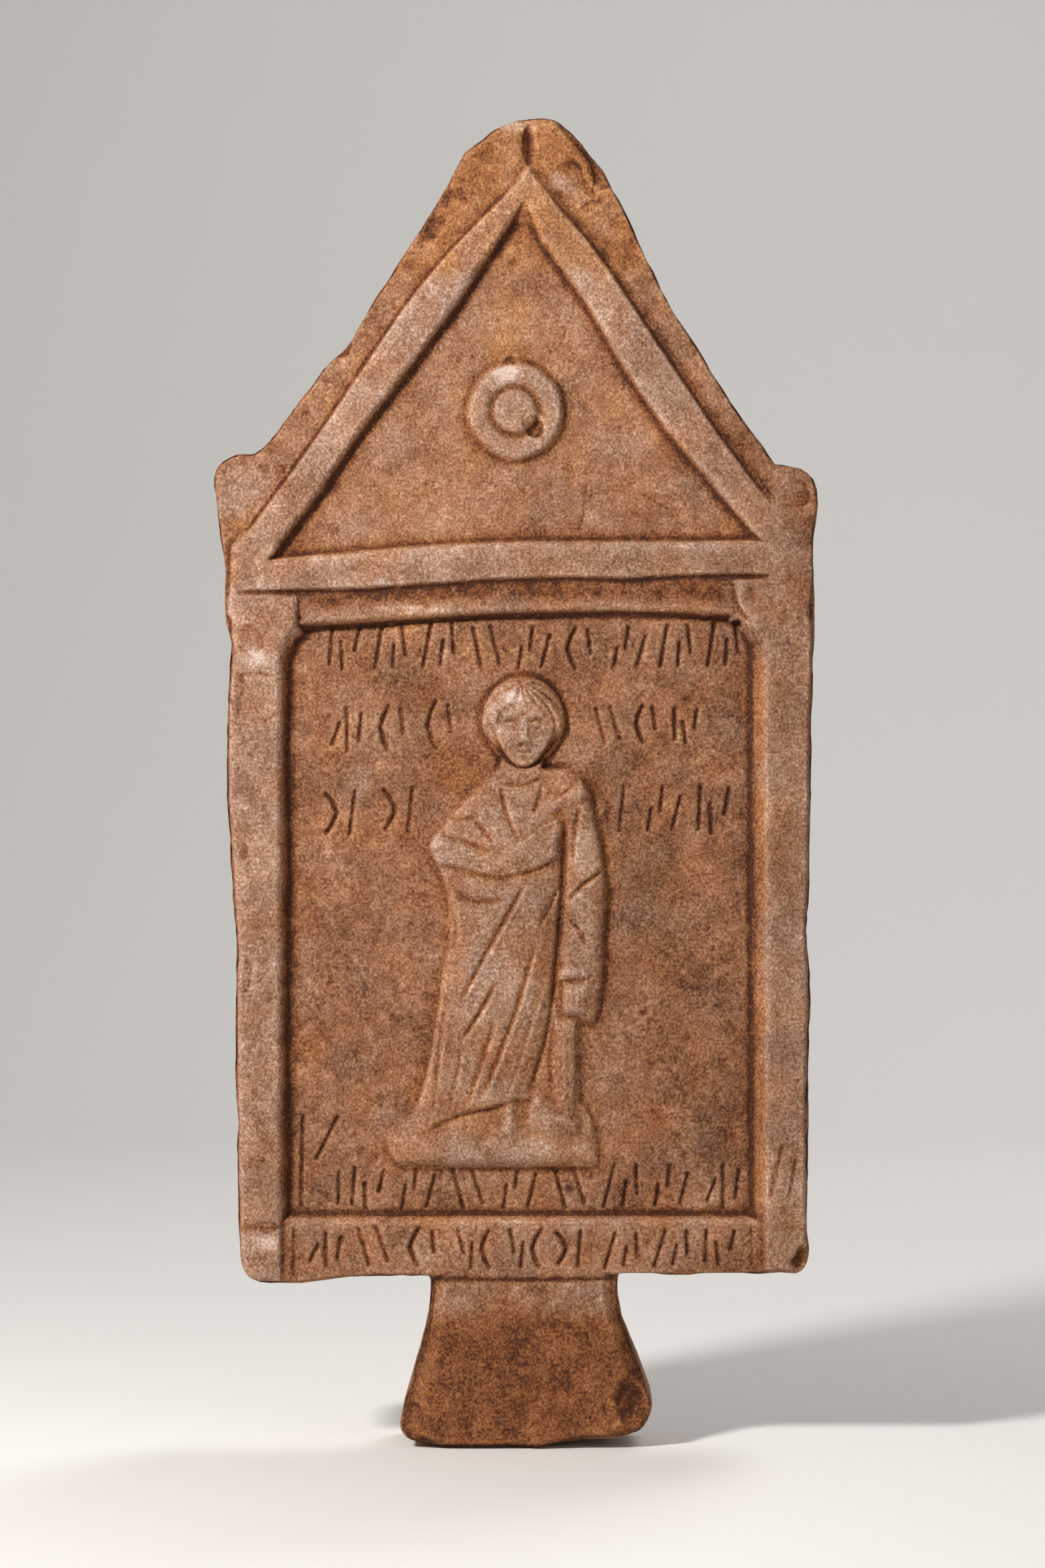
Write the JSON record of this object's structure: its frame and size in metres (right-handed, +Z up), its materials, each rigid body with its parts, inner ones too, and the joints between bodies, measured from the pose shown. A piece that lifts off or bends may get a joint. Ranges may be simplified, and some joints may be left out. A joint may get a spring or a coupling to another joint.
{
  "type": "carved stone stele",
  "caption": "Gabled stone slab with a standing draped figure in a sunk, framed field, rows of incised strokes, and a tenon below that sets it upright in a base.",
  "frame": {"origin": "middle of the tenon's flat foot, half way through the slab's thickness", "axes": "+Z up from the tenon's foot to the gable's crest, +X to the viewer's right facing the carving, -Y out of the carved face"},
  "size_m": [0.1909, 0.042, 0.42],
  "materials": {
    "marble": "matte"
  },
  "bodies": {
    "root": {"stele": "marble"}
  },
  "joints": []
}
